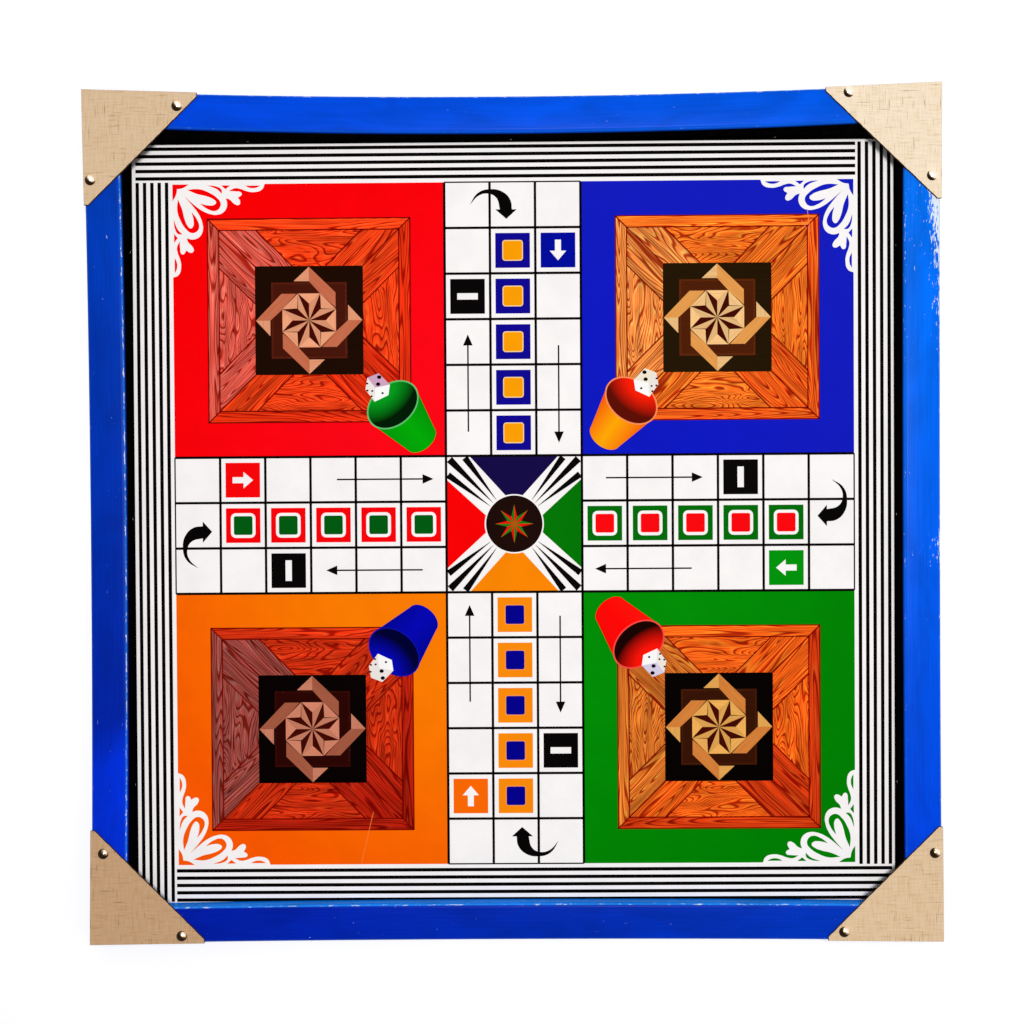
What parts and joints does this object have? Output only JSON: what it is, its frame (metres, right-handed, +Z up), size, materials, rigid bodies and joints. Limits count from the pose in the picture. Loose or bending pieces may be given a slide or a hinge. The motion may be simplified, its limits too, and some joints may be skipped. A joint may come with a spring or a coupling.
{
  "type": "ludo board",
  "caption": "Square framed ludo board: a printed playing sheet on plywood, sunk inside painted mitred rails with black slips and tacked laminate corner plates.",
  "frame": {"origin": "middle of the underside, at the centre of the square frame", "axes": "+Z up out of the playing face; +X to the right and +Y to the top of the print as the picture shows it"},
  "size_m": [0.61, 0.61, 0.0211],
  "materials": {
    "blue_enamel": "brushed blue gloss enamel on timber",
    "black_paint": "black paint on thin timber strip",
    "laminated_print": "gloss laminated colour print, mostly white, red, blue, orange and green",
    "plywood": "unpainted plywood",
    "linen_laminate": "satin decorative laminate with a linen pattern",
    "tack_metal": "aged nickel-plated brass, domed",
    "nail_steel": "bright drawn steel"
  },
  "bodies": {
    "root": {"plywood_panel": "plywood", "printed_sheet": "laminated_print", "bottom_rail": "blue_enamel", "right_rail": "blue_enamel", "right_slip": "black_paint", "top_rail": "blue_enamel", "top_slip": "black_paint", "left_rail": "blue_enamel", "left_slip": "black_paint", "corner_plate_bottom_right": "linen_laminate", "corner_plate_top_right": "linen_laminate", "corner_plate_top_left": "linen_laminate", "corner_plate_bottom_left": "linen_laminate", "plate_tack_bottom_1": "tack_metal", "plate_tack_bottom_2": "tack_metal", "corner_nail_bottom_1": "nail_steel", "corner_nail_bottom_2": "nail_steel", "panel_nail_bottom_1": "nail_steel", "panel_nail_bottom_2": "nail_steel", "panel_nail_bottom_3": "nail_steel", "panel_nail_bottom_4": "nail_steel", "plate_tack_right_1": "tack_metal", "plate_tack_right_2": "tack_metal", "corner_nail_right_1": "nail_steel", "corner_nail_right_2": "nail_steel", "panel_nail_right_1": "nail_steel", "panel_nail_right_2": "nail_steel", "panel_nail_right_3": "nail_steel", "panel_nail_right_4": "nail_steel", "slip_pin_right_1": "nail_steel", "slip_pin_right_2": "nail_steel", "slip_pin_right_3": "nail_steel", "plate_tack_top_1": "tack_metal", "plate_tack_top_2": "tack_metal", "corner_nail_top_1": "nail_steel", "corner_nail_top_2": "nail_steel", "panel_nail_top_1": "nail_steel", "panel_nail_top_2": "nail_steel", "panel_nail_top_3": "nail_steel", "panel_nail_top_4": "nail_steel", "slip_pin_top_1": "nail_steel", "slip_pin_top_2": "nail_steel", "slip_pin_top_3": "nail_steel", "plate_tack_left_1": "tack_metal", "plate_tack_left_2": "tack_metal", "corner_nail_left_1": "nail_steel", "corner_nail_left_2": "nail_steel", "panel_nail_left_1": "nail_steel", "panel_nail_left_2": "nail_steel", "panel_nail_left_3": "nail_steel", "panel_nail_left_4": "nail_steel", "slip_pin_left_1": "nail_steel", "slip_pin_left_2": "nail_steel", "slip_pin_left_3": "nail_steel"}
  },
  "joints": []
}
